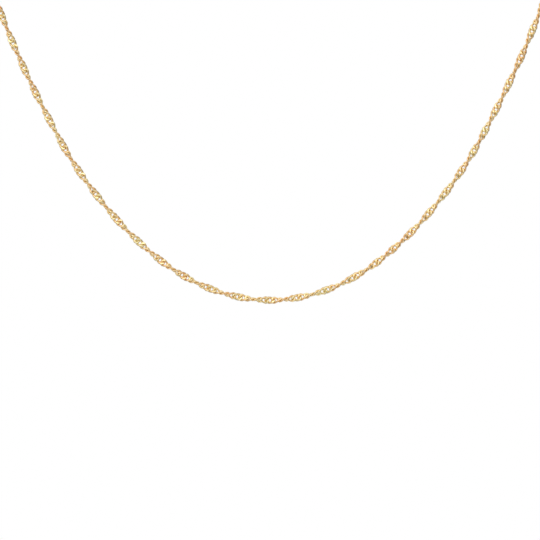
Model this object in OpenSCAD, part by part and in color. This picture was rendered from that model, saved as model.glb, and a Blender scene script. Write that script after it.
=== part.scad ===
// Singapore chain necklace: one long twisted chain that hangs as a whole loop, and its small clasp at the nape.
// Millimetres. +Z is up, the front faces -Y, and the origin is the middle of the neck where the loop sits on it.

/* [Chain] */
// Width across the twisted chain, which is also the diameter of the round space that it fills
chain_w = 1.65; // [1.5:0.05:1.9]
// Outside length of the last link at each end
link_len = 2.4; // [2.3:0.1:3.2]
// Wire of the last links
link_wire = 0.42; // [0.34:0.02:0.44]

/* [Rings] */
// Wire of the two soldered rings
ring_wire = 0.5; // [0.4:0.02:0.54]
// Outside diameter of the small ring between the clasp's eye and the chain
end_ring_d = 3; // [2.6:0.1:4]
// Outside diameter of the ring that the clasp closes on
catch_ring_d = 4; // [3.7:0.1:5.5]

/* [Clasp] */
// Outside diameter of the round clasp
clasp_d = 6; // [5.4:0.1:8]
// Thickness of its tube
clasp_tube = 1.2; // [1:0.05:1.4]
// Thickness of the bolt that shuts the tube's opening
bolt_d = 0.8; // [0.6:0.05:0.95]
// Length of the opening round the clasp, in degrees
opening_angle = 65; // [40:5:80]
// Thickness of the thumb knob
knob_d = 0.7; // [0.5:0.05:0.9]
// Height of the knob above the tube
knob_h = 0.8; // [0.5:0.1:1.5]
// Length of the slot in which the knob slides, in degrees round the clasp
slot_angle = 46; // [36:2:60]
// Depth of the slot
slot_depth = 0.2; // [0.1:0.05:0.3]
// Outside diameter of the eye on the clasp
eye_d = 2.4; // [2.2:0.1:3]
// Wire of the eye
eye_wire = 0.5; // [0.4:0.05:0.6]
// Depth to which the eye is soldered into the tube
solder_depth = 0.15; // [0.1:0.05:0.2]

/* [Gaps] */
// Gap between one link or ring and the next
link_gap = 0.1; // [0.05:0.01:0.14]
// Play of the knob in its slot, both sides together
knob_play = 0.1; // [0.05:0.05:0.2]

/* [Hidden] */
$fn = 48;

// Sides of the swept chain, and its rings for each step of the route
chain_sides = 8;
rings_a_step = 2;
chain_out_r = chain_w / 2 / cos(180 / chain_sides);

// Route of the chain's middle line on the +X side, from the lowest point at the front to the nape.
// The front hangs in an upright plane, then the chain turns back over the shoulder and round the neck.
half_route = [
  [0, -40, -90],
  [11, -40, -88.25],
  [21, -40, -83.5],
  [30, -40, -76.25],
  [37.5, -40, -68],
  [44, -40, -59],
  [49, -40, -50],
  [53.5, -40, -41],
  [57.5, -40, -32],
  [61.5, -39.5, -22],
  [65, -36.5, -12.5],
  [67, -29.5, -5],
  [67.5, -19.5, 0],
  [66.5, -9, 3.5],
  [63, 1.5, 6.5],
  [57, 11, 9],
  [49, 19.5, 11.5],
  [39, 26.5, 13.5],
  [28.5, 31.5, 15],
  [18, 35, 16],
];
nape = [0, 36.5, 16];
// A point well inside the loop, from which no stretch of it is seen end on
inside = [0, -5, -30];

// Middle lines of the small parts
link_end_r = (chain_w - link_wire) / 2;
link_mid = (link_len - link_wire) / 2;
end_ring_r = (end_ring_d - ring_wire) / 2;
catch_ring_r = (catch_ring_d - ring_wire) / 2;
clasp_r = (clasp_d - clasp_tube) / 2;
eye_r = (eye_d - eye_wire) / 2;

// Where the opening starts round the clasp from its eye, and where the slot starts past its end
opening_from = 50;
slot_past = 8;
// The knob stands this far round the slot
knob_in_slot = 12;
slot_w = knob_d + knob_play;

// Places along X from the clasp's middle, first towards +X and then towards -X
eye_at = clasp_d / 2 + eye_wire / 2 - solder_depth + eye_r;
end_ring_at = eye_at + eye_r - (eye_wire + ring_wire) / 2 - link_gap + end_ring_r;
right_link_at = end_ring_at + end_ring_r - (ring_wire + link_wire) / 2 - link_gap + link_mid;
right_reach = right_link_at + link_len / 2 + link_gap;
catch_ring_at = clasp_r - (clasp_tube + ring_wire) / 2 - link_gap + catch_ring_r;
left_link_at = catch_ring_at + catch_ring_r - (ring_wire + link_wire) / 2 - link_gap + link_mid;
left_reach = left_link_at + link_len / 2 + link_gap;

// The clasp lies so that both ends of the chain stop as far from the middle of the nape
chain_end_x = (left_reach + right_reach) / 2;
clasp_x = (left_reach - right_reach) / 2;

function mirrored(p) = [-p.x, p.y, p.z];
function unit(v) = v / norm(v);
function reversed(list) = [for (i = [len(list) - 1:-1:0]) list[i]];
// The point past an end, level with it, so that the chain leaves its end along X
function past(end, before) = [2 * end.x - before.x, end.y, end.z];

right_side = concat(half_route, [nape + [chain_end_x, 0, 0]]);
left_side = [for (i = [1:len(right_side) - 1]) mirrored(right_side[i])];
route = concat(reversed(left_side), right_side);
steps = len(route) - 1;
knots = concat([past(route[0], route[1])], route, [past(route[steps], route[steps - 1])]);

// A smooth curve through the route's points, and its direction
function curve(a, b, c, d, t) =
  (2 * b + (c - a) * t + (2 * a - 5 * b + 4 * c - d) * t * t + (3 * b - a - 3 * c + d) * t * t * t) / 2;
function direction(a, b, c, d, t) =
  unit((c - a) + 2 * (2 * a - 5 * b + 4 * c - d) * t + 3 * (3 * b - a - 3 * c + d) * t * t);

function ring_points(middle, along) =
  let (side = unit(cross(along, inside - middle)), up = cross(side, along))
  [for (i = [0:chain_sides - 1]) middle + chain_out_r * (cos(360 * (i + 0.5) / chain_sides) * side
    + sin(360 * (i + 0.5) / chain_sides) * up)];

// Ring number n of the whole sweep, counted from the -X end
function ring_at(n) =
  let (i = min(floor(n / rings_a_step), steps - 1), t = n / rings_a_step - i,
    a = knots[i], b = knots[i + 1], c = knots[i + 2], d = knots[i + 3])
  ring_points(curve(a, b, c, d, t), direction(a, b, c, d, t));

module swept_chain() {
  last = steps * rings_a_step;
  points = [for (n = [0:last]) each ring_at(n)];
  walls = [for (n = [0:last - 1], i = [0:chain_sides - 1])
    let (a = n * chain_sides + i, b = n * chain_sides + (i + 1) % chain_sides)
    each [[a, a + chain_sides, b], [b, a + chain_sides, b + chain_sides]]];
  first_end = [for (i = [0:chain_sides - 1]) i];
  last_end = [for (i = [chain_sides - 1:-1:0]) last * chain_sides + i];
  polyhedron(points, concat(walls, [first_end, last_end]));
}

// A round ring of wire, flat in the XY plane
module wire_ring(middle_r, wire) {
  rotate_extrude() translate([middle_r, 0]) circle(d = wire);
}

// An oval link of wire, long in X and upright in the XZ plane
module oval_link() {
  run = link_len - chain_w;
  rotate([90, 0, 0]) for (turn = [0, 180]) rotate(turn) {
    translate([run / 2, 0]) rotate(-90) rotate_extrude(angle = 180) translate([link_end_r, 0]) circle(d = link_wire);
    translate([-run / 2, link_end_r]) rotate([0, 90, 0]) cylinder(d = link_wire, h = run);
  }
}

module chain() {
  color("#DBBC8C") swept_chain();
}

module last_link_left() {
  color("#D8B888") translate(nape + [clasp_x - left_link_at, 0, 0]) oval_link();
}

module last_link_right() {
  color("#D8B888") translate(nape + [clasp_x + right_link_at, 0, 0]) oval_link();
}

// The ring that the clasp closes on
module catch_ring() {
  color("#D6B37E") translate(nape + [clasp_x - catch_ring_at, 0, 0]) wire_ring(catch_ring_r, ring_wire);
}

// The ring that joins the clasp's eye to the chain
module end_ring() {
  color("#D6B37E") translate(nape + [clasp_x + end_ring_at, 0, 0]) wire_ring(end_ring_r, ring_wire);
}

// The round clasp's tube with its opening, and the slot of the thumb knob in its outer side
module clasp_ring() {
  difference() {
    rotate(opening_from + opening_angle) rotate_extrude(angle = 360 - opening_angle)
      translate([clasp_r, 0]) circle(d = clasp_tube);
    rotate(opening_from + opening_angle + slot_past) rotate_extrude(angle = slot_angle)
      translate([clasp_d / 2, 0]) square([2 * slot_depth, slot_w], center = true);
  }
}

// The thumb knob, a pin with a round end
module knob() {
  rise = clasp_tube / 2 + knob_h - knob_d / 2;
  rotate([0, 90, 0]) {
    cylinder(d = knob_d, h = rise);
    translate([0, 0, rise]) sphere(d = knob_d);
  }
}

// A shut round clasp in one piece: its tube, the bolt across the opening, the thumb knob and the eye
module clasp() {
  color("#DDBB82") translate(nape + [clasp_x, 0, 0]) rotate([90, 0, 0]) {
    clasp_ring();
    wire_ring(clasp_r, bolt_d);
    rotate(opening_from + opening_angle + slot_past + knob_in_slot) translate([clasp_r, 0]) knob();
    translate([eye_at, 0]) wire_ring(eye_r, eye_wire);
  }
}

chain();
last_link_left();
last_link_right();
catch_ring();
end_ring();
clasp();
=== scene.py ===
"""Singapore chain necklace: the looks of its twisted links, soldered rings and round clasp."""

import math
import random
from bisect import bisect_right

import bmesh
import bpy
from mathutils import Matrix, Vector


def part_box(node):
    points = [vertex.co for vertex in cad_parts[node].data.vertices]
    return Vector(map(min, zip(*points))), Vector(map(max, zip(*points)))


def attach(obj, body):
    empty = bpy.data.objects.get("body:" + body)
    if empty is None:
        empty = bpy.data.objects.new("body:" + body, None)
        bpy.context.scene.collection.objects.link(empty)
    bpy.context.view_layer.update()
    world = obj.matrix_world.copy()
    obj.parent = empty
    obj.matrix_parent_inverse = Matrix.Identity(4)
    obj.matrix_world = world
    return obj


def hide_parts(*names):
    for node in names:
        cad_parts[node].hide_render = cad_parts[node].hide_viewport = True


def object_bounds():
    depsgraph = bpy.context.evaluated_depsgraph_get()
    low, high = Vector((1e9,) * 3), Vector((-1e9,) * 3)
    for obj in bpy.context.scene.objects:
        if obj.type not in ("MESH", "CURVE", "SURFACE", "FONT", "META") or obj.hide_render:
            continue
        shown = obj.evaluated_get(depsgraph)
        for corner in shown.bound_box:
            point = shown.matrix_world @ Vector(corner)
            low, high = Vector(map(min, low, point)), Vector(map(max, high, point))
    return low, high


bl_info = {
    "name": "Singapore Chain Necklace",
    "version": (1, 0, 0),
    "blender": (4, 5, 0),
    "location": "3D View > Sidebar > Necklace",
    "description": "Builds a twisted gold chain of short cut links, its rings and clasp, and a plain stage",
    "category": "Object",
}

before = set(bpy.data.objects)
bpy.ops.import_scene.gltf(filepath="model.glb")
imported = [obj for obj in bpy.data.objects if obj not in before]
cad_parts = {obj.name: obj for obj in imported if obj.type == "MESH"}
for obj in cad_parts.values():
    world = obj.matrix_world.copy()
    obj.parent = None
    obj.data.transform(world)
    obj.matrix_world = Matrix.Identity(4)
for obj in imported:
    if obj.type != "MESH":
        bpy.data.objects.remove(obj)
CAD_LOW, CAD_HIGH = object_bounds()

BODY = "root"
TO_VIEWER = Vector((0, -1, 0))

# The photograph is a square of this many pixels, and this much of the chain's plane shows across it
PHOTO_PIXELS = 540
PHOTO_SPAN = 0.12
# The row of the photograph in which the middle line of the lowest link lies
LOWEST_ROW = 300.2
# Width of the camera's sensor in millimetres
SENSOR_WIDTH = 36

# Route of the chain's middle line on the +X side, from the lowest point at the front to the nape
HALF_ROUTE = [
    (0, -0.040, -0.090),
    (0.011, -0.040, -0.08825),
    (0.021, -0.040, -0.0835),
    (0.030, -0.040, -0.07625),
    (0.0375, -0.040, -0.068),
    (0.044, -0.040, -0.059),
    (0.049, -0.040, -0.050),
    (0.0535, -0.040, -0.041),
    (0.0575, -0.040, -0.032),
    (0.0615, -0.0395, -0.022),
    (0.065, -0.0365, -0.0125),
    (0.067, -0.0295, -0.005),
    (0.0675, -0.0195, 0),
    (0.0665, -0.009, 0.0035),
    (0.063, 0.0015, 0.0065),
    (0.057, 0.011, 0.009),
    (0.049, 0.0195, 0.0115),
    (0.039, 0.0265, 0.0135),
    (0.0285, 0.0315, 0.015),
    (0.018, 0.035, 0.016),
]
NAPE = Vector((0, 0.0365, 0.016))
SAMPLES_A_STEP = 60
# Air between a last link and the end of the plain round chain that the twisted links replace
PLAIN_CHAIN_GAP = 0.0001

# Places along the chain, from its lowest point, where it stands edge on to the viewer between two lobes
EDGE_ON = [
    -0.0825, -0.0765, -0.070, -0.0635, -0.0565, -0.050, -0.0435, -0.036, -0.0295, -0.023, -0.017, -0.0105,
    -0.0035, 0.003, 0.0095, 0.016, 0.023, 0.028, 0.0325, 0.0385, 0.0445, 0.0505, 0.056, 0.061, 0.066, 0.072,
    0.0785, 0.085,
]
# Half turn of the twist where the photograph doesn't show the chain
HIDDEN_HALF_TURN = 0.00655
# The twist at a place is the mean of the twist this far before it and behind it, because a link is stiff
TWIST_REACH = 0.0008

# Seed of the small differences from link to link
LINK_SEED = 4
# How far out a corner's cut is pinned, as a share of the way to the wire's middle line
CUT_MIDDLE = 0.7
# Points of a link's wire that lie closer than this share of its width are one point
MERGE_SHARE = 0.02

# Fineness of the tool's marks and unevenness of the gloss in each finish
FINISHES = {"drawn_gold": (26000.0, 0.12), "cut_gold": (42000.0, 0.08), "polished_gold": (12000.0, 0.1)}
# Fineness and detail of the patches of tone and gloss, and detail of the tool's marks
PATCH_SCALE = 900.0
PATCH_DETAIL = 2.0
MARK_DETAIL = 3.0
# How deep the tool's marks are, how strongly they show and how far they change the gloss
MARK_DEPTH = 0.00002
MARK_STRENGTH = 0.12
MARK_GLOSS = 0.06
# Share of a finish's first colour over its second, by the link's own tone and by patches, less a part
PLAIN_BY_LINK = 0.55
PLAIN_BY_PATCH = 0.7
PLAIN_LESS = 0.12
# Share of its third colour, which rises with the link's own tone past a start and up to a most
PALE_BY_LINK = 1.3
PALE_LESS = 0.55
PALE_MOST = 0.8

# Brightness of the room that the metal mirrors, from behind the chain at 0 to the camera's own side at 1
ROOM_RINGS = [
    (0.0, (1, 1, 1, 1)),
    (0.42, (0.95, 0.95, 0.95, 1)),
    (0.56, (0.7, 0.7, 0.7, 1)),
    (0.73, (0.8, 0.8, 0.8, 1)),
    (0.85, (1.25, 1.25, 1.25, 1)),
    (0.95, (1.35, 1.35, 1.35, 1)),
    (0.985, (0.9, 0.9, 0.9, 1)),
    (1.0, (0.6, 0.6, 0.6, 1)),
]
# Soft screens in that room: their fineness, the noise at which one begins and ends, and their brightness
SCREEN_SCALE = 2.6
SCREEN_DETAIL = 1.0
SCREEN_BEGINS, SCREEN_ENDS = 0.4, 0.6
SCREEN_DARK, SCREEN_BRIGHT = 0.8, 1.1

# The soft lights, each with its name, place, side and power in watts, and the height that they aim at
LAMPS = [
    ("key_light", (-0.5, -0.7, 0.6), 0.6, 1.0),
    ("fill_light", (0.7, -0.5, 0.2), 0.5, 0.6),
]
LAMP_AIM_HEIGHT = -0.05

# The floor's two near whites, the fineness and detail of the clouds in which they mix, and its roughness
FLOOR_GREY = (0.8, 0.8, 0.8, 1)
FLOOR_WHITE = (0.85, 0.85, 0.85, 1)
FLOOR_CLOUD_SCALE = 4.0
FLOOR_CLOUD_DETAIL = 2.0
FLOOR_ROUGHNESS = 0.9


def clamp(value, low, high):
    return min(max(value, low), high)


class Route:
    """The chain's middle line: a smooth curve through its points, measured along from the lowest one."""

    def __init__(self, half_points, end_x):
        right = [Vector(p) for p in half_points] + [NAPE + Vector((end_x, 0, 0))]
        left = [Vector((-p.x, p.y, p.z)) for p in right[:0:-1]]
        points = left + right
        ends = [self.past(points[0], points[1]), self.past(points[-1], points[-2])]
        knots = [ends[0], *points, ends[1]]
        self.line = []
        for a, b, c, d in zip(knots, knots[1:], knots[2:], knots[3:]):
            steps = [k / SAMPLES_A_STEP for k in range(SAMPLES_A_STEP)]
            self.line += [self.curve(a, b, c, d, t) for t in steps]
        self.line.append(points[-1])
        self.middle = len(self.line) // 2
        self.along = [0.0]
        for p, q in zip(self.line, self.line[1:]):
            self.along.append(self.along[-1] + (q - p).length)
        shift = self.along[self.middle]
        self.along = [s - shift for s in self.along]
        self.tangents = self.directions()
        self.normals = self.carried_normals()

    @staticmethod
    def past(end, before):
        """The point past an end, level with it, so that the chain leaves its end along X."""
        return Vector((2 * end.x - before.x, end.y, end.z))

    @staticmethod
    def curve(a, b, c, d, t):
        """A point of the smooth curve between b and c."""
        return (2 * b + (c - a) * t + (2 * a - 5 * b + 4 * c - d) * t**2 + (3 * b - a - 3 * c + d) * t**3) / 2

    def directions(self):
        """The unit direction of the line at each of its points."""
        before = [self.line[0], *self.line[:-1]]
        after = [*self.line[1:], self.line[-1]]
        return [(q - p).normalized() for p, q in zip(before, after)]

    def carried_normals(self):
        """A normal that faces the viewer at the lowest point and is carried along without turning."""
        normals = [None] * len(self.line)
        normals[self.middle] = TO_VIEWER.copy()
        for step, end in ((1, len(self.line)), (-1, -1)):
            for i in range(self.middle + step, end, step):
                turn = self.tangents[i - step].rotation_difference(self.tangents[i])
                normals[i] = turn @ normals[i - step]
        return normals

    def place(self, s):
        """The matrix of a place along the chain, with the chain's direction as X and the normal as Y."""
        low = clamp(bisect_right(self.along, s) - 1, 0, len(self.along) - 2)
        high = low + 1
        share = (s - self.along[low]) / (self.along[high] - self.along[low])
        point = self.line[low] + (self.line[high] - self.line[low]) * share
        tangent = self.tangents[low].lerp(self.tangents[high], clamp(share, 0, 1)).normalized()
        normal = self.normals[low].lerp(self.normals[high], clamp(share, 0, 1))
        normal = (normal - tangent * normal.dot(tangent)).normalized()
        side = tangent.cross(normal)
        turned = Matrix((tangent, normal, side)).transposed().to_4x4()
        return Matrix.Translation(point) @ turned


class Twist:
    """The chain's left-handed twist, in half turns from the first place where it stands edge on."""

    def __init__(self, route, link):
        self.places = list(EDGE_ON)
        self.turns = [float(-k) for k in range(len(self.places))]
        self.lay_hidden(route, link, 1)
        self.lay_hidden(route, link, -1)

    def lay_hidden(self, route, link, side):
        """Evens out the twist from the last place seen to the chain's end, so that the end bow lies level."""
        last, turns = (self.places[-1], self.turns[-1]) if side > 0 else (self.places[0], self.turns[0])
        end = route.along[-1 if side > 0 else 0] + side * link.reach
        run = abs(end - last) / HIDDEN_HALF_TURN
        frame_there = route.place(end)
        level = frame_there.to_3x3().transposed() @ Vector((0, 1, 0))
        wanted = math.atan2(level.z, level.y) / math.pi
        plain = turns - side * run
        nearest = wanted + round(plain - wanted)
        if side > 0:
            self.places.append(end)
            self.turns.append(nearest)
        else:
            self.places.insert(0, end)
            self.turns.insert(0, nearest)

    def at(self, s):
        """The angle of the chain's flat at a place, evened out over about a link's pitch."""
        return math.pi * (self.between(s - TWIST_REACH) + self.between(s + TWIST_REACH)) / 2

    def between(self, s):
        """Half turns at a place, evenly spread between the places that are known."""
        i = 0
        while i < len(self.places) - 2 and self.places[i + 1] < s:
            i += 1
        share = (s - self.places[i]) / (self.places[i + 1] - self.places[i])
        return self.turns[i] + share * (self.turns[i + 1] - self.turns[i])


class Term:
    """A socket of a shader, with the operators that build Math nodes from it."""

    def __init__(self, tree, socket):
        self.tree = tree
        self.socket = socket

    def math(self, operation, *values, clamp=False):
        node = self.tree.add("ShaderNodeMath", {"operation": operation, "use_clamp": clamp}, values)
        return node.out()

    def __add__(self, other):
        return self.math("ADD", self, other)

    __radd__ = __add__

    def __sub__(self, other):
        return self.math("SUBTRACT", self, other)

    def __rsub__(self, other):
        return self.math("SUBTRACT", other, self)

    def __mul__(self, other):
        return self.math("MULTIPLY", self, other)

    __rmul__ = __mul__

    def clamped(self):
        return self.math("ADD", self, 0.0, clamp=True)


class Node:
    """A node just made, and its outputs as terms."""

    def __init__(self, tree, node):
        self.tree = tree
        self.node = node

    def out(self, name=0):
        return Term(self.tree, self.node.outputs[name])


class Tree:
    """A node tree that nodes are added to by type, settings and the values or links of their sockets."""

    def __init__(self, node_tree):
        self.nodes = node_tree.nodes
        self.links = node_tree.links
        self.nodes.clear()

    def add(self, kind, settings=None, inputs=()):
        node = self.nodes.new(kind)
        for name, value in (settings or {}).items():
            if name == "stops":
                self.set_stops(node.color_ramp, value)
            else:
                setattr(node, name, value)
        named = inputs.items() if isinstance(inputs, dict) else enumerate(inputs)
        for name, value in named:
            if isinstance(value, Term):
                self.links.new(value.socket, node.inputs[name])
            else:
                node.inputs[name].default_value = value
        return Node(self, node)

    @staticmethod
    def set_stops(ramp, stops):
        while len(ramp.elements) < len(stops):
            ramp.elements.new(1.0)
        for element, (position, colour) in zip(ramp.elements, stops):
            element.position = position
            element.color = colour

    def mix(self, share, first, second):
        """Two colours mixed; sockets 6 and 7 and output 2 of a Mix node are its colours."""
        node = self.add("ShaderNodeMix", {"data_type": "RGBA"}, {"Factor": share, 6: first, 7: second})
        return node.out(2)

    def noise(self, where, scale, detail):
        inputs = {"Vector": where, "Scale": scale, "Detail": detail}
        return self.add("ShaderNodeTexNoise", inputs=inputs).out("Fac")

    def attribute(self, name):
        return self.add("ShaderNodeAttribute", {"attribute_name": name}).out("Fac")


def opaque(colour):
    """A colour with its alpha."""
    return (*colour, 1.0)


class ChainSizes(bpy.types.PropertyGroup):
    """Sizes of one link and of the cuts on the chain's flats."""

    pitch: bpy.props.FloatProperty(
        name="Pitch",
        description="Distance from one link to the next in the hanging front",
        default=0.00147,
        unit="LENGTH",
    )
    wire: bpy.props.FloatProperty(
        name="Wire Width",
        description="Width of a link's flattened wire",
        default=0.00056,
        unit="LENGTH",
    )
    wire_thickness: bpy.props.FloatProperty(
        name="Wire Thickness",
        description="Thickness of a link's wire before it is cut",
        default=0.00042,
        unit="LENGTH",
    )
    width: bpy.props.FloatProperty(
        name="Width",
        description="Outside width of a link",
        default=0.00165,
        unit="LENGTH",
    )
    middle_length: bpy.props.FloatProperty(
        name="Length",
        description="Length of a link's middle line",
        default=0.00208,
        unit="LENGTH",
    )
    thickness: bpy.props.FloatProperty(
        name="Cut Thickness",
        description="Thickness of the chain across its cut flats",
        default=0.00074,
        unit="LENGTH",
    )
    clearance: bpy.props.FloatProperty(
        name="Clearance",
        description="Air between two links where they cross",
        default=0.00006,
        unit="LENGTH",
    )
    flat_share: bpy.props.FloatProperty(
        name="Flat Share",
        description="Share of the wire's width that is rolled flat",
        default=0.5,
        min=0,
        max=1,
    )
    bow_steps: bpy.props.IntProperty(
        name="Bow Steps",
        description="Steps round half a turn of a bow",
        default=5,
        min=3,
    )
    run_steps: bpy.props.IntProperty(
        name="Run Steps",
        description="Steps along a link's straight side",
        default=3,
        min=1,
    )
    unevenness: bpy.props.FloatProperty(
        name="Unevenness",
        description="How far a link leans out of line",
        default=math.radians(3),
        unit="ROTATION",
    )
    cut_lean: bpy.props.FloatProperty(
        name="Cut Lean",
        description="How far a cut is off level",
        default=math.radians(3),
        unit="ROTATION",
    )


class MetalLooks(bpy.types.PropertyGroup):
    """Colours and polish of the gold, and the painted shade along the chain's edges."""

    gold: bpy.props.FloatVectorProperty(
        name="Gold",
        description="Colour of the drawn wire",
        default=(0.96, 0.77, 0.39),
        size=3,
        subtype="COLOR",
    )
    warm_gold: bpy.props.FloatVectorProperty(
        name="Warm Gold",
        description="Redder tone of some links",
        default=(0.94, 0.64, 0.35),
        size=3,
        subtype="COLOR",
    )
    pale_gold: bpy.props.FloatVectorProperty(
        name="Pale Gold",
        description="Paler tone of some links",
        default=(0.93, 0.87, 0.52),
        size=3,
        subtype="COLOR",
    )
    cut_gold: bpy.props.FloatVectorProperty(
        name="Cut Gold",
        description="Colour of the cut facets",
        default=(0.95, 0.85, 0.46),
        size=3,
        subtype="COLOR",
    )
    # Painted shade: a darker, redder gold painted along the chain's edges, so that the necks, where the links
    # stand edge on, look shaded
    painted_shade_gold: bpy.props.FloatVectorProperty(
        name="Skin Gold",
        description="Colour of the wire's uncut skin",
        default=(0.70, 0.435, 0.21),
        size=3,
        subtype="COLOR",
    )
    # How strongly that painted shade is mixed in along the chain's edges
    skin: bpy.props.FloatProperty(
        name="Skin",
        description="How much of that skin shows along the chain's edges",
        default=0.75,
        min=0,
        max=1,
    )
    wire_roughness: bpy.props.FloatProperty(
        name="Wire Roughness",
        description="Roughness of the wire",
        default=0.2,
        min=0,
        max=1,
        subtype="FACTOR",
    )
    cut_roughness: bpy.props.FloatProperty(
        name="Cut Roughness",
        description="Roughness of the cut facets",
        default=0.15,
        min=0,
        max=1,
        subtype="FACTOR",
    )


class StageSizes(bpy.types.PropertyGroup):
    """The camera, floor and light."""

    camera_distance: bpy.props.FloatProperty(
        name="Camera Distance",
        description="From the camera to the hanging front",
        default=0.6,
        unit="LENGTH",
    )
    floor_drop: bpy.props.FloatProperty(
        name="Floor Drop",
        description="From the lowest link down to the floor",
        default=0.2,
        unit="LENGTH",
    )
    floor_size: bpy.props.FloatProperty(
        name="Floor Size",
        description="Side of the floor",
        default=0.4,
        unit="LENGTH",
    )
    sky: bpy.props.FloatProperty(
        name="Sky",
        description="Brightness of the white that the camera sees",
        default=1.0,
        min=0,
    )
    room: bpy.props.FloatProperty(
        name="Room",
        description="Brightness of the room in the metal",
        default=0.805,
        min=0,
    )
    light_from_above: bpy.props.FloatProperty(
        name="Light from Above",
        description="How much brighter the room is above than level",
        default=0.7,
        min=0,
        max=1,
    )
    light_from_left: bpy.props.FloatProperty(
        name="Light from Left",
        description="How much brighter the room is at the left",
        default=0.18,
        min=0,
        max=1,
    )


class Link:
    """One link's numbers, worked out from the chain's sizes and the route's length."""

    def __init__(self, sizes, route):
        link_low, link_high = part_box("last_link_right")
        ring_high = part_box("end_ring")[1]
        self.sizes = sizes
        self.bow_r = (sizes.width - sizes.wire) / 2
        self.run = sizes.middle_length - 2 * self.bow_r
        # The outermost link ends in the last link's hole, midway between the ring there and the far bow
        last_wire = link_high.y - link_low.y
        hole_middle = (ring_high.x + link_high.x - last_wire) / 2
        self.reach = route.line[-1].x - hole_middle
        self.end_inset = sizes.middle_length / 2 - self.reach
        # The links that the photograph shows keep their pitch, and the hidden ones share out the rest
        self.pitch = sizes.pitch
        self.seen = round(EDGE_ON[-1] / self.pitch)
        rest = route.along[-1] - self.end_inset - self.seen * self.pitch
        self.hidden = round(rest / self.pitch)
        self.hidden_pitch = rest / self.hidden
        self.lift = (sizes.wire_thickness + sizes.clearance) / 2
        # The wire climbs evenly all along a side's run, and over the short face at the tip of a bow
        self.rise = self.run / 2
        self.cross = self.bow_r * math.sin(math.pi / sizes.bow_steps / 2)

    def middles(self):
        """The places of all the links along the chain, of which one lies at the lowest point."""
        seen = [k * self.pitch for k in range(1, self.seen + 1)]
        side = seen + [seen[-1] + k * self.hidden_pitch for k in range(1, self.hidden + 1)]
        return [-s for s in reversed(side)] + [0.0] + side

    def height(self, x, y):
        """How far the wire stands off the chain's flat, so that two links' bows pass one over the other."""
        along = clamp(x / self.rise, -1, 1)
        across = clamp(y / self.cross, -1, 1)
        return -self.lift * along * math.sin(across * math.pi / 2)

    def edge_share(self, y):
        """How far out at the chain's edge a point lies, from 0 over the wire's middle line to 1; it masks the
        painted shade.
        """
        return clamp((abs(y) - self.bow_r) / (self.sizes.wire / 2), 0, 1)


def wire_ring(bm, link):
    """The oval wire of one link, flat in the XY plane, by extruding and spinning its rolled section."""
    sizes = link.sizes
    half, top = sizes.wire / 2, sizes.wire_thickness / 2
    shoulder = half * sizes.flat_share
    section = [(half, 0), (shoulder, top), (-shoulder, top), (-half, 0), (-shoulder, -top), (shoulder, -top)]
    corners = [bm.verts.new((-link.run / 2, link.bow_r + y, z)) for y, z in section]
    edges = [bm.edges.new((p, q)) for p, q in zip(corners, corners[1:] + corners[:1])]
    for side in (1, -1):
        step = Vector((side * link.run / sizes.run_steps, 0, 0))
        for _ in range(sizes.run_steps):
            grown = bmesh.ops.extrude_edge_only(bm, edges=edges)["geom"]
            moved = [g for g in grown if isinstance(g, bmesh.types.BMVert)]
            bmesh.ops.translate(bm, verts=moved, vec=step)
            edges = [g for g in grown if isinstance(g, bmesh.types.BMEdge)]
        centre = (side * link.run / 2, 0, 0)
        spun = bmesh.ops.spin(
            bm,
            geom=edges,
            cent=centre,
            axis=(0, 0, 1),
            angle=-math.pi,
            steps=sizes.bow_steps,
            use_merge=False,
        )
        edges = [g for g in spun["geom_last"] if isinstance(g, bmesh.types.BMEdge)]
    bmesh.ops.remove_doubles(bm, verts=bm.verts, dist=sizes.wire * MERGE_SHARE)
    bmesh.ops.recalc_face_normals(bm, faces=bm.faces)


def make_link_mesh(link):
    """One link as it lies in the flat of the chain, its length along X and its width along Y."""
    bm = bmesh.new()
    wire_ring(bm, link)
    for v in bm.verts:
        v.co.z += link.height(v.co.x, v.co.y)
    mesh = bpy.data.meshes.new("one_link")
    bm.to_mesh(mesh)
    bm.free()
    return mesh


def cutter_planes(link, draw):
    """The four planes that a link's corners are cut to, each a little off level, by the signs of X and Z."""
    lean = math.tan(link.sizes.cut_lean)
    planes = {}
    for end in (1, -1):
        for face in (1, -1):
            planes[end, face] = (draw.uniform(-1, 1) * lean, draw.uniform(-1, 1) * lean)
    return planes


def cut_down(flat, link, planes):
    """Brings a point of a link down to the cutter's plane over its corner, and tells whether it was cut."""
    end, face = (1 if flat.x > 0 else -1), (1 if flat.z > 0 else -1)
    along, across = planes[end, face]
    middle = Vector((end * link.pitch / 2, -end * face * link.bow_r * CUT_MIDDLE))
    level = link.sizes.thickness / 2 + along * (flat.x - middle.x) + across * (flat.y - middle.y)
    if abs(flat.z) < level:
        return False
    flat.z = face * level
    return True


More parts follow.
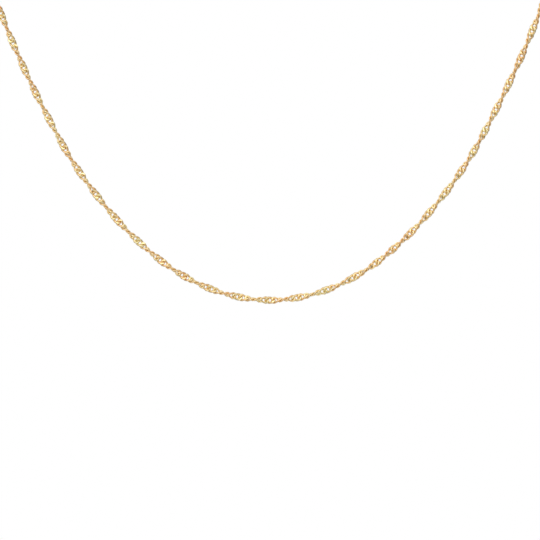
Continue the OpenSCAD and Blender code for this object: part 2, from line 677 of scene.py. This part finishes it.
def string_links(link_mesh, link, route, twist):
    """All the links in one mesh, each bent along the route and round with the twist."""
    draw = random.Random(LINK_SEED)
    bm = bmesh.new()
    tone = bm.verts.layers.float.new("tone")
    # Per point share of the painted shade along the chain's edges
    edge = bm.verts.layers.float.new("edge")
    for s in link.middles():
        lean = Matrix.Rotation(draw.uniform(-1, 1) * link.sizes.unevenness, 3, "Z")
        planes = cutter_planes(link, draw)
        shade = draw.random()
        known = len(bm.faces)
        bm.from_mesh(link_mesh)
        bm.verts.ensure_lookup_table()
        bm.faces.ensure_lookup_table()
        cut = set()
        for v in bm.verts[-len(link_mesh.vertices):]:
            flat = lean @ v.co
            if cut_down(flat, link, planes):
                cut.add(v)
            there = s + flat.x
            across = Matrix.Rotation(twist.at(there), 3, "X") @ Vector((0, flat.y, flat.z))
            v.co = route.place(there) @ across
            v[tone] = shade
            # The painted shade grows the further out at the chain's edge a point lies
            v[edge] = link.edge_share(flat.y)
        for f in bm.faces[known:]:
            f.smooth = not all(v in cut for v in f.verts)
            f.material_index = 0 if f.smooth else 1
    for e in bm.edges:
        e.smooth = all(f.smooth for f in e.link_faces)
    mesh = bpy.data.meshes.new("chain_links")
    bm.to_mesh(mesh)
    bm.free()
    return mesh


def gold_material(name, metal, colours, roughness):
    """Polished gold of one finish, whose tone and gloss vary in patches, with fine marks and painted shade
    along the chain's edges.

    The attributes tone and edge are the twisted links' own, and read 0 on the rings and the clasp.
    """
    grain, uneven = FINISHES[name]
    material = bpy.data.materials.new(name)
    material.use_nodes = True
    tree = Tree(material.node_tree)
    where = tree.add("ShaderNodeTexCoord").out("Object")
    patches = tree.noise(where, PATCH_SCALE, PATCH_DETAIL)
    marks = tree.noise(where, grain, MARK_DETAIL)
    tone = tree.attribute("tone")
    edge = tree.attribute("edge")
    plain, warm, pale = (opaque(c) for c in colours)
    plain_share = (tone * PLAIN_BY_LINK + patches * PLAIN_BY_PATCH - PLAIN_LESS).clamped()
    pale_share = (tone * PALE_BY_LINK - PALE_LESS).clamped() * PALE_MOST
    colour = tree.mix(plain_share, warm, plain)
    colour = tree.mix(pale_share, colour, pale)
    # Painted shade: a darker, redder gold mixed in along the chain's edges, to darken the necks where the
    # links stand edge on
    colour = tree.mix(edge * metal.skin, colour, opaque(metal.painted_shade_gold))
    gloss = (patches * uneven + (roughness - uneven / 2) + marks * MARK_GLOSS - MARK_GLOSS / 2).clamped()
    bump_inputs = {"Strength": MARK_STRENGTH, "Distance": MARK_DEPTH, "Height": marks}
    bump = tree.add("ShaderNodeBump", inputs=bump_inputs).out()
    shader = tree.add(
        "ShaderNodeBsdfPrincipled",
        inputs={"Base Color": colour, "Metallic": 1.0, "Roughness": gloss, "Normal": bump},
    )
    tree.add("ShaderNodeOutputMaterial", inputs={"Surface": shader.out()})
    return material


class NECKLACE_OT_links(bpy.types.Operator):
    """Strings the twisted, cut links along the route in place of the plain round chain"""

    bl_idname = "necklace.links"
    bl_label = "Chain Links"

    def execute(self, context):
        scene = context.scene
        metal = scene.necklace_metal
        end_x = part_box("last_link_right")[1].x + PLAIN_CHAIN_GAP
        route = Route(HALF_ROUTE, end_x)
        link = Link(scene.necklace_chain, route)
        twist = Twist(route, link)
        link_mesh = make_link_mesh(link)
        mesh = string_links(link_mesh, link, route, twist)
        bpy.data.meshes.remove(link_mesh)
        wire_colours = (metal.gold, metal.warm_gold, metal.pale_gold)
        cut_colours = (metal.cut_gold, metal.gold, metal.pale_gold)
        mesh.materials.append(gold_material("drawn_gold", metal, wire_colours, metal.wire_roughness))
        mesh.materials.append(gold_material("cut_gold", metal, cut_colours, metal.cut_roughness))
        links = bpy.data.objects.new("chain_links", mesh)
        scene.collection.objects.link(links)
        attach(links, BODY)
        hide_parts("chain")
        return {"FINISHED"}


class NECKLACE_OT_fittings(bpy.types.Operator):
    """Gives the last links, the rings and the clasp their polished gold"""

    bl_idname = "necklace.fittings"
    bl_label = "Rings and Clasp"

    def execute(self, context):
        metal = context.scene.necklace_metal
        colours = (metal.gold, metal.warm_gold, metal.pale_gold)
        polished = gold_material("polished_gold", metal, colours, metal.wire_roughness)
        for name in ("last_link_left", "last_link_right", "catch_ring", "end_ring", "clasp"):
            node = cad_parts[name]
            node.data.materials.clear()
            node.data.materials.append(polished)
        return {"FINISHED"}


def make_floor(sizes, lowest):
    """A plain pale floor below the hanging chain."""
    bm = bmesh.new()
    bmesh.ops.create_grid(bm, x_segments=1, y_segments=1, size=sizes.floor_size / 2)
    bmesh.ops.translate(bm, verts=bm.verts, vec=(0, 0, lowest - sizes.floor_drop))
    mesh = bpy.data.meshes.new("floor")
    bm.to_mesh(mesh)
    bm.free()
    floor = bpy.data.objects.new("floor", mesh)
    bpy.context.scene.collection.objects.link(floor)
    material = bpy.data.materials.new("floor_white")
    material.use_nodes = True
    tree = Tree(material.node_tree)
    where = tree.add("ShaderNodeTexCoord").out("Object")
    clouds = tree.noise(where, FLOOR_CLOUD_SCALE, FLOOR_CLOUD_DETAIL)
    colour = tree.mix(clouds, FLOOR_GREY, FLOOR_WHITE)
    inputs = {"Base Color": colour, "Roughness": FLOOR_ROUGHNESS}
    shader = tree.add("ShaderNodeBsdfPrincipled", inputs=inputs)
    tree.add("ShaderNodeOutputMaterial", inputs={"Surface": shader.out()})
    mesh.materials.append(material)


def make_camera(sizes):
    """The camera, level with the middle of the photograph and square to the hanging front."""
    front = Vector(HALF_ROUTE[0])
    camera_data = bpy.data.cameras.new("camera")
    camera = bpy.data.objects.new("camera", camera_data)
    bpy.context.scene.collection.objects.link(camera)
    middle_height = front.z + (LOWEST_ROW - PHOTO_PIXELS / 2) * PHOTO_SPAN / PHOTO_PIXELS
    camera.location = (0, front.y - sizes.camera_distance, middle_height)
    camera.rotation_euler = (math.pi / 2, 0, 0)
    camera_data.sensor_width = SENSOR_WIDTH
    camera_data.lens = SENSOR_WIDTH * sizes.camera_distance / PHOTO_SPAN
    bpy.context.scene.camera = camera


def make_sky(sizes):
    """White to the camera; the metal mirrors a pale room, brighter by the camera, above and at the left."""
    world = bpy.data.worlds.new("white_room")
    bpy.context.scene.world = world
    world.use_nodes = True
    tree = Tree(world.node_tree)
    direction = tree.add("ShaderNodeTexCoord").out("Generated")
    parts = tree.add("ShaderNodeSeparateXYZ", inputs=[direction])
    # From 0 straight behind the chain to 1 at the camera
    ahead = parts.out("Y") * -0.5 + 0.5
    lean = parts.out("Z") * sizes.light_from_above - parts.out("X") * sizes.light_from_left + 1.0
    rings = tree.add("ShaderNodeValToRGB", {"stops": ROOM_RINGS}, {"Fac": ahead}).out()
    screens = tree.add(
        "ShaderNodeMapRange",
        {"interpolation_type": "SMOOTHSTEP"},
        {
            "Value": tree.noise(direction, SCREEN_SCALE, SCREEN_DETAIL),
            "From Min": SCREEN_BEGINS,
            "From Max": SCREEN_ENDS,
            "To Min": sizes.room * SCREEN_DARK,
            "To Max": sizes.room * SCREEN_BRIGHT,
        },
    ).out()
    shaded = rings * screens * lean
    seen = tree.add("ShaderNodeLightPath").out("Is Camera Ray")
    strength = seen * sizes.sky + (1.0 - seen) * shaded
    shader = tree.add("ShaderNodeBackground", inputs={"Color": (1, 1, 1, 1), "Strength": strength})
    tree.add("ShaderNodeOutputWorld", inputs={"Surface": shader.out()})


def make_lamp(name, place, side, power):
    """A square soft light, turned to the hanging front."""
    aim = Vector((0, HALF_ROUTE[0][1], LAMP_AIM_HEIGHT))
    data = bpy.data.lights.new(name, "AREA")
    data.size = side
    data.energy = power
    lamp = bpy.data.objects.new(name, data)
    bpy.context.scene.collection.objects.link(lamp)
    lamp.location = place
    lamp.rotation_mode = "QUATERNION"
    lamp.rotation_quaternion = (aim - Vector(place)).to_track_quat("-Z", "Y")


class NECKLACE_OT_stage(bpy.types.Operator):
    """Adds the floor, the camera, the white room and the soft lights"""

    bl_idname = "necklace.stage"
    bl_label = "Stage"

    def execute(self, context):
        scene = context.scene
        sizes = scene.necklace_stage
        make_floor(sizes, CAD_LOW.z)
        make_camera(sizes)
        make_sky(sizes)
        for lamp in LAMPS:
            make_lamp(*lamp)
        scene.view_settings.view_transform = "Standard"
        return {"FINISHED"}


class NECKLACE_PT_panel(bpy.types.Panel):
    """Lists the necklace's sizes and looks, and the steps that build it"""

    bl_label = "Singapore Chain Necklace"
    bl_idname = "NECKLACE_PT_panel"
    bl_space_type = "VIEW_3D"
    bl_region_type = "UI"
    bl_category = "Necklace"

    def draw(self, context):
        for group_name, group in GROUPS.items():
            box = self.layout.box()
            for name in group.__annotations__:
                box.prop(getattr(context.scene, group_name), name)
        for step in STEPS:
            self.layout.operator(step.bl_idname)


GROUPS = {"necklace_chain": ChainSizes, "necklace_metal": MetalLooks, "necklace_stage": StageSizes}
STEPS = (NECKLACE_OT_links, NECKLACE_OT_fittings, NECKLACE_OT_stage)


def register():
    for cls in (*GROUPS.values(), *STEPS, NECKLACE_PT_panel):
        bpy.utils.register_class(cls)
    for name, group in GROUPS.items():
        setattr(bpy.types.Scene, name, bpy.props.PointerProperty(type=group))


def unregister():
    for name in GROUPS:
        delattr(bpy.types.Scene, name)
    for cls in (NECKLACE_PT_panel, *reversed(STEPS), *GROUPS.values()):
        bpy.utils.unregister_class(cls)


def main():
    register()
    bpy.ops.necklace.links()
    bpy.ops.necklace.fittings()
    bpy.ops.necklace.stage()


if __name__ == "__main__":
    main()
